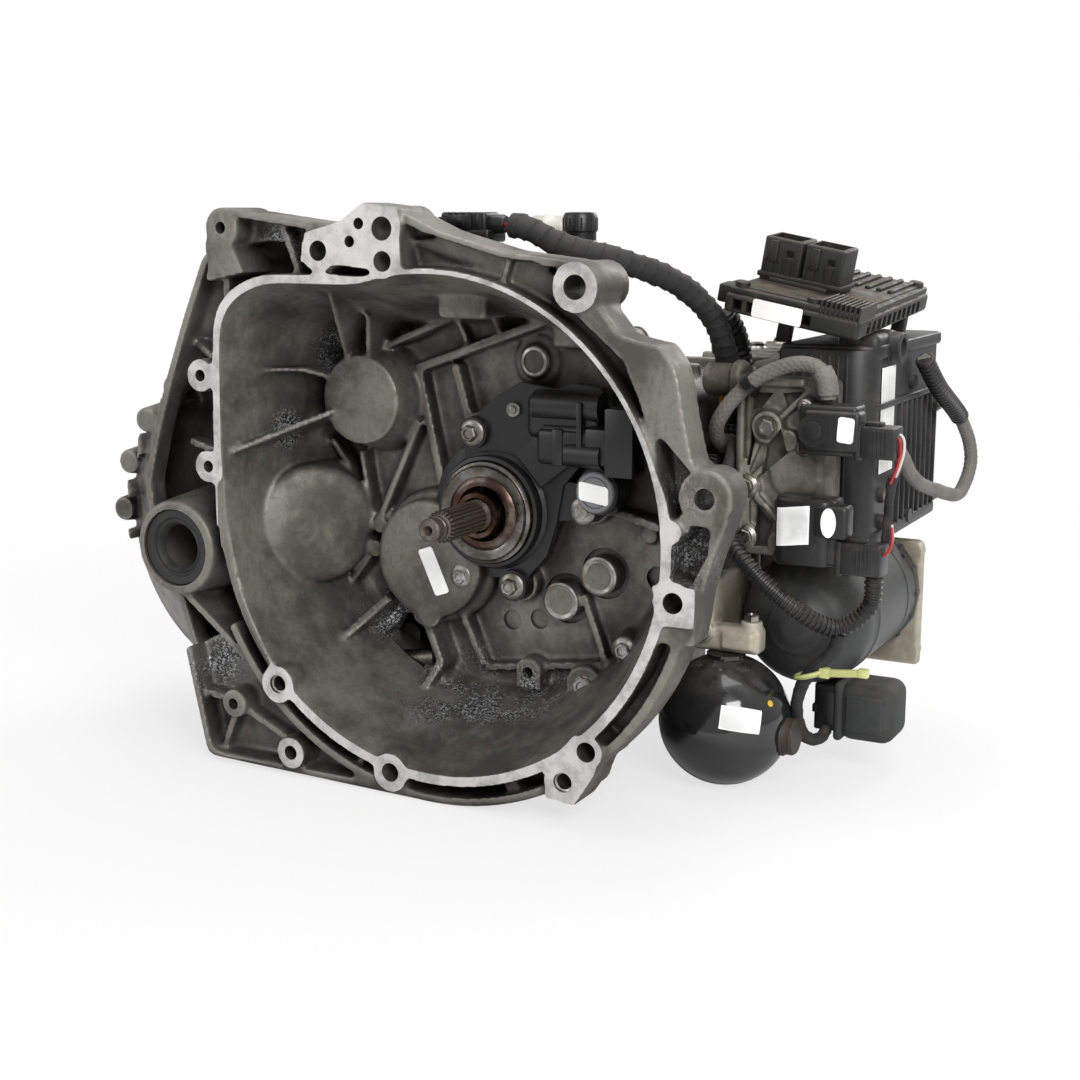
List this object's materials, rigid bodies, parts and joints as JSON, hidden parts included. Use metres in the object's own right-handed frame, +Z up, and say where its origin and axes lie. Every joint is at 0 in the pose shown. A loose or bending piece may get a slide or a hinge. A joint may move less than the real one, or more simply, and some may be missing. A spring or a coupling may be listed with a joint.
{
  "type": "manual transmission",
  "caption": "Transverse six-speed manual gearbox with open bell housing, clutch release bearing, differential and electro-hydraulic shift unit with control box and harness.",
  "frame": {"origin": "middle of the part's bounding box in X and Y, at the height of the surface it stands on", "axes": "+X to the right seen from the engine, towards the shift unit; +Y from the engine face towards the end cover, along the shafts; +Z up"},
  "size_m": [0.5942, 0.3892, 0.382],
  "materials": {
    "cast_alloy": "die-cast, dull, stained",
    "dirty_alloy": "cast, covered in dried oil and dust",
    "rusty_steel": "film of brown rust",
    "black_plastic": "moulded, fine texture",
    "grey_plastic": "moulded, fine texture",
    "grey_paint": "satin paint under dust",
    "black_gloss": "gloss paint",
    "rubber": "matt",
    "sleeving": "woven heat-resistant sleeve",
    "bearing_steel": "ground",
    "gear_steel": "case-hardened, oiled"
  },
  "bodies": {
    "casing": {"accumulator": "black_gloss", "actuator_housing": "cast_alloy", "actuator_module": "grey_plastic", "bell_housing": "cast_alloy", "capped_plug": "rubber", "clutch_actuator": "black_plastic", "control_unit": "black_plastic", "differential_bearing_front": "bearing_steel", "differential_bearing_rear": "bearing_steel", "driveshaft_seal_front": "rubber", "driveshaft_seal_rear": "rubber", "end_cover": "cast_alloy", "fluid_fitting": "black_plastic", "gear_case": "cast_alloy", "guide_tube": "bearing_steel", "harness_plug": "black_plastic", "hydraulic_block": "dirty_alloy", "input_bearing_front": "bearing_steel", "input_bearing_rear": "bearing_steel", "lower_conduit": "black_plastic", "lower_sensor": "black_plastic", "main_harness": "rubber", "output_bearing_front": "bearing_steel", "output_bearing_rear": "bearing_steel", "pump_flange": "dirty_alloy", "pump_motor": "grey_paint", "reverse_idler_shaft": "bearing_steel", "shift_rail": "bearing_steel", "side_sleeve": "sleeving", "top_plug": "black_plastic", "upper_sensor": "black_plastic", "upper_sleeve": "sleeving"},
    "input_shaft": {"input_shaft": "rusty_steel", "input_gear_3": "gear_steel", "input_gear_4": "gear_steel", "input_gear_5": "gear_steel", "input_gear_6": "gear_steel"},
    "speed_gear_1": {"speed_gear_1": "gear_steel"},
    "speed_gear_2": {"speed_gear_2": "gear_steel"},
    "speed_gear_3": {"speed_gear_3": "gear_steel"},
    "speed_gear_4": {"speed_gear_4": "gear_steel"},
    "speed_gear_5": {"speed_gear_5": "gear_steel"},
    "speed_gear_6": {"speed_gear_6": "gear_steel"},
    "reverse_idler": {"reverse_idler": "gear_steel"},
    "reverse_gear": {"reverse_gear": "gear_steel"},
    "output_shaft": {"output_shaft": "gear_steel"},
    "differential": {"differential_carrier": "bearing_steel", "final_drive_gear": "gear_steel", "differential_pin": "bearing_steel"},
    "side_gear_front": {"side_gear_front": "gear_steel"},
    "side_gear_rear": {"side_gear_rear": "gear_steel"},
    "pinion_gear_left": {"pinion_gear_left": "gear_steel"},
    "pinion_gear_right": {"pinion_gear_right": "gear_steel"},
    "release_bearing": {"release_bearing": "bearing_steel"},
    "shift_fork_1_2": {"shift_fork_1_2": "gear_steel"},
    "synchro_sleeve_1_2": {"synchro_sleeve_1_2": "gear_steel"},
    "shift_fork_3_4": {"shift_fork_3_4": "gear_steel"},
    "synchro_sleeve_3_4": {"synchro_sleeve_3_4": "gear_steel"},
    "shift_fork_5_6": {"shift_fork_5_6": "gear_steel"},
    "synchro_sleeve_5_6": {"synchro_sleeve_5_6": "gear_steel"}
  },
  "joints": [
    {"name": "input_spin", "type": "hinge", "parent": "casing", "child": "input_shaft", "pos_m": [0.03412, -0.19465, 0.181], "axis": [0, 1, 0], "continuous": true},
    {"name": "speed_gear_1_spin", "type": "hinge", "parent": "casing", "child": "speed_gear_1", "pos_m": [-0.03142, -0.19465, 0.13511], "axis": [0, 1, 0], "continuous": true},
    {"name": "speed_gear_2_spin", "type": "hinge", "parent": "casing", "child": "speed_gear_2", "pos_m": [-0.03142, -0.19465, 0.13511], "axis": [0, 1, 0], "continuous": true},
    {"name": "speed_gear_3_spin", "type": "hinge", "parent": "casing", "child": "speed_gear_3", "pos_m": [-0.03142, -0.19465, 0.13511], "axis": [0, 1, 0], "continuous": true},
    {"name": "speed_gear_4_spin", "type": "hinge", "parent": "casing", "child": "speed_gear_4", "pos_m": [-0.03142, -0.19465, 0.13511], "axis": [0, 1, 0], "continuous": true},
    {"name": "speed_gear_5_spin", "type": "hinge", "parent": "casing", "child": "speed_gear_5", "pos_m": [-0.03142, -0.19465, 0.13511], "axis": [0, 1, 0], "continuous": true},
    {"name": "speed_gear_6_spin", "type": "hinge", "parent": "casing", "child": "speed_gear_6", "pos_m": [-0.03142, -0.19465, 0.13511], "axis": [0, 1, 0], "continuous": true},
    {"name": "reverse_idler_spin", "type": "hinge", "parent": "casing", "child": "reverse_idler", "pos_m": [-0.0044, -0.19465, 0.20615], "axis": [0, 1, 0], "continuous": true},
    {"name": "reverse_gear_spin", "type": "hinge", "parent": "casing", "child": "reverse_gear", "pos_m": [-0.03142, -0.19465, 0.13511], "axis": [0, 1, 0], "continuous": true},
    {"name": "differential_spin", "type": "hinge", "parent": "casing", "child": "differential", "pos_m": [-0.17052, -0.19465, 0.15096], "axis": [0, 1, 0], "continuous": true},
    {"name": "output_spin", "type": "hinge", "parent": "casing", "child": "output_shaft", "pos_m": [-0.03142, -0.19465, 0.13511], "axis": [0, 1, 0], "continuous": true},
    {"name": "side_gear_front_spin", "type": "hinge", "parent": "differential", "child": "side_gear_front", "pos_m": [-0.17052, -0.19465, 0.15096], "axis": [0, 1, 0], "continuous": true},
    {"name": "side_gear_rear_spin", "type": "hinge", "parent": "differential", "child": "side_gear_rear", "pos_m": [-0.17052, -0.19465, 0.15096], "axis": [0, 1, 0], "continuous": true},
    {"name": "pinion_gear_right_spin", "type": "hinge", "parent": "differential", "child": "pinion_gear_right", "pos_m": [-0.17052, -0.04785, 0.15096], "axis": [1, 0, 0], "continuous": true},
    {"name": "pinion_gear_left_spin", "type": "hinge", "parent": "differential", "child": "pinion_gear_left", "pos_m": [-0.17052, -0.04785, 0.15096], "axis": [1, 0, 0], "continuous": true},
    {"name": "shift_1_2", "type": "slide", "parent": "casing", "child": "shift_fork_1_2", "axis": [0, 1, 0], "range_m": [-0.007, 0.007]},
    {"name": "sleeve_1_2_slide", "type": "slide", "parent": "output_shaft", "child": "synchro_sleeve_1_2", "axis": [0, 1, 0], "range_m": [-0.007, 0.007]},
    {"name": "shift_3_4", "type": "slide", "parent": "casing", "child": "shift_fork_3_4", "axis": [0, 1, 0], "range_m": [-0.007, 0.007]},
    {"name": "sleeve_3_4_slide", "type": "slide", "parent": "output_shaft", "child": "synchro_sleeve_3_4", "axis": [0, 1, 0], "range_m": [-0.007, 0.007]},
    {"name": "shift_5_6", "type": "slide", "parent": "casing", "child": "shift_fork_5_6", "axis": [0, 1, 0], "range_m": [-0.007, 0.007]},
    {"name": "sleeve_5_6_slide", "type": "slide", "parent": "output_shaft", "child": "synchro_sleeve_5_6", "axis": [0, 1, 0], "range_m": [-0.007, 0.007]},
    {"name": "clutch_release", "type": "slide", "parent": "casing", "child": "release_bearing", "axis": [0, -1, 0], "range_m": [0, 0.008]}
  ],
  "couplings": [
    {"joint": "speed_gear_1_spin", "follows": "input_spin", "ratio": -0.29032},
    {"joint": "speed_gear_2_spin", "follows": "input_spin", "ratio": -0.48148},
    {"joint": "speed_gear_3_spin", "follows": "input_spin", "ratio": -0.73913},
    {"joint": "speed_gear_4_spin", "follows": "input_spin", "ratio": -1},
    {"joint": "speed_gear_5_spin", "follows": "input_spin", "ratio": -1.3529},
    {"joint": "speed_gear_6_spin", "follows": "input_spin", "ratio": -1.6667},
    {"joint": "reverse_idler_spin", "follows": "input_spin", "ratio": -0.64286},
    {"joint": "reverse_gear_spin", "follows": "input_spin", "ratio": 0.375},
    {"joint": "output_spin", "follows": "differential_spin", "ratio": -4},
    {"joint": "side_gear_rear_spin", "follows": "side_gear_front_spin", "ratio": -1},
    {"joint": "pinion_gear_right_spin", "follows": "side_gear_front_spin", "ratio": 1.7},
    {"joint": "pinion_gear_left_spin", "follows": "side_gear_front_spin", "ratio": -1.7},
    {"joint": "sleeve_1_2_slide", "follows": "shift_1_2", "ratio": 1},
    {"joint": "sleeve_3_4_slide", "follows": "shift_3_4", "ratio": 1},
    {"joint": "sleeve_5_6_slide", "follows": "shift_5_6", "ratio": 1}
  ]
}
